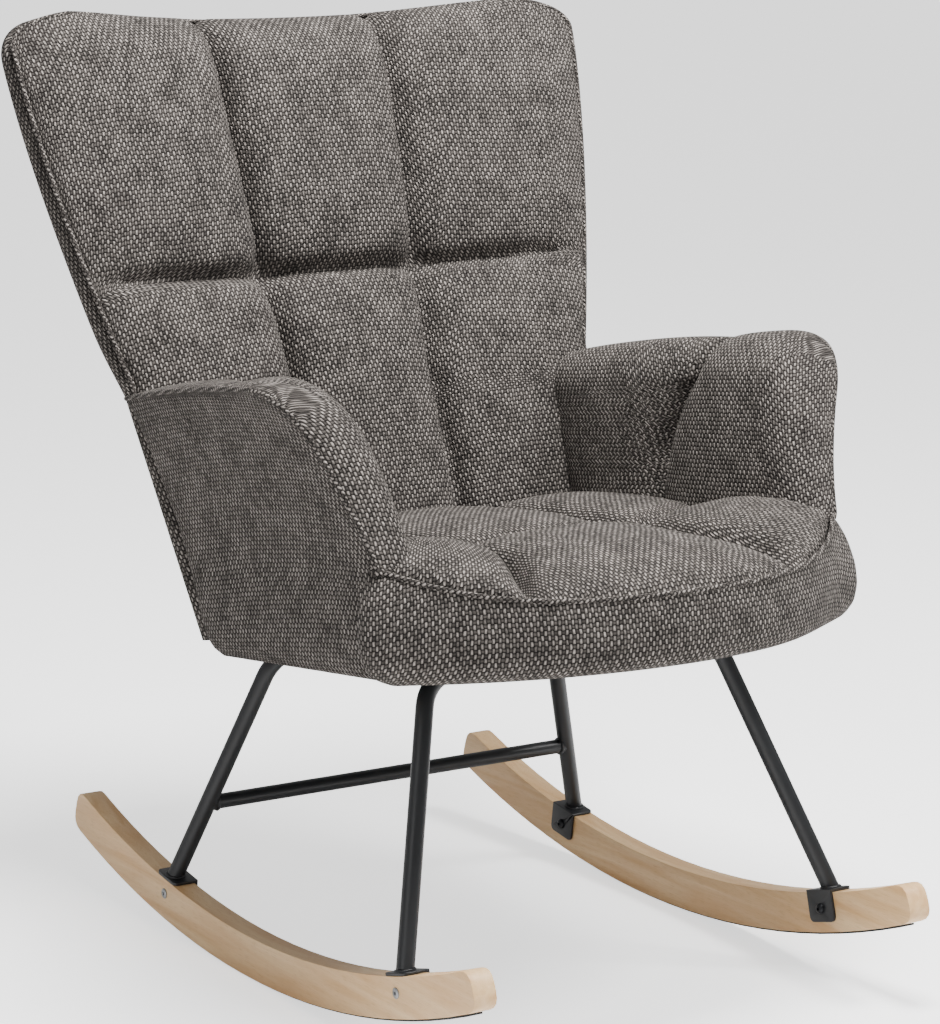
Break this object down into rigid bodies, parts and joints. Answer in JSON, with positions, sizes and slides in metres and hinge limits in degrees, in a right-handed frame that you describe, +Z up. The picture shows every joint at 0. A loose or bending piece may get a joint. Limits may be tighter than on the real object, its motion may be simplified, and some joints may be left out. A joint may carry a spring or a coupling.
{
  "type": "upholstered rocking chair",
  "caption": "High-back rocking chair: quilted padded shell seat with arms on bent black steel tube leg frames, fixed by brackets to curved wooden rockers.",
  "frame": {"origin": "centre of the chair's footprint box on the floor, below the middle of the overall box", "axes": "+Z up; the chair faces -Y; +X is the sitter's left; X runs across the chair between the rockers"},
  "size_m": [0.712, 0.8928, 0.9571],
  "materials": {
    "rocker_wood": "clear satin lacquer on light hardwood",
    "grip_rubber": "matt black anti-slip strip",
    "black_steel": "satin black powder coat",
    "black_fastener": "black oxide",
    "zinc_steel": "zinc plate",
    "plywood": "raw plywood",
    "foam": "open-cell polyurethane foam",
    "liner": "non-woven dust cover",
    "quilted_weave": "chunky chenille weave over foam",
    "plain_weave": "chunky chenille weave, plain panel"
  },
  "bodies": {
    "root": {"back_board": "plywood", "back_front_pad": "quilted_weave", "back_outer_shell": "plain_weave", "dust_cover": "liner", "front_left_bracket": "black_steel", "front_left_bracket_bolt": "black_fastener", "front_left_mounting_plate": "black_steel", "front_left_screw_1": "black_fastener", "front_left_screw_2": "black_fastener", "front_left_sleeve_nut": "zinc_steel", "front_left_tee_nut_1": "zinc_steel", "front_left_tee_nut_2": "zinc_steel", "front_leg_frame": "black_steel", "front_right_bracket": "black_steel", "front_right_bracket_bolt": "black_fastener", "front_right_mounting_plate": "black_steel", "front_right_screw_1": "black_fastener", "front_right_screw_2": "black_fastener", "front_right_sleeve_nut": "zinc_steel", "front_right_tee_nut_1": "zinc_steel", "front_right_tee_nut_2": "zinc_steel", "left_arm_board": "plywood", "left_arm_outer_panel": "plain_weave", "left_arm_pad": "quilted_weave", "left_rocker": "rocker_wood", "left_rocker_strip": "grip_rubber", "rear_cross_bar": "black_steel", "rear_left_bracket": "black_steel", "rear_left_bracket_bolt": "black_fastener", "rear_left_mounting_plate": "black_steel", "rear_left_screw_1": "black_fastener", "rear_left_screw_2": "black_fastener", "rear_left_sleeve_nut": "zinc_steel", "rear_left_tee_nut_1": "zinc_steel", "rear_left_tee_nut_2": "zinc_steel", "rear_leg_frame": "black_steel", "rear_right_bracket": "black_steel", "rear_right_bracket_bolt": "black_fastener", "rear_right_mounting_plate": "black_steel", "rear_right_screw_1": "black_fastener", "rear_right_screw_2": "black_fastener", "rear_right_sleeve_nut": "zinc_steel", "rear_right_tee_nut_1": "zinc_steel", "rear_right_tee_nut_2": "zinc_steel", "right_arm_board": "plywood", "right_arm_outer_panel": "plain_weave", "right_arm_pad": "quilted_weave", "right_rocker": "rocker_wood", "right_rocker_strip": "grip_rubber", "seat_board": "plywood", "seat_foam": "foam", "seat_front_band": "quilted_weave", "seat_top_pad": "quilted_weave"}
  },
  "joints": []
}
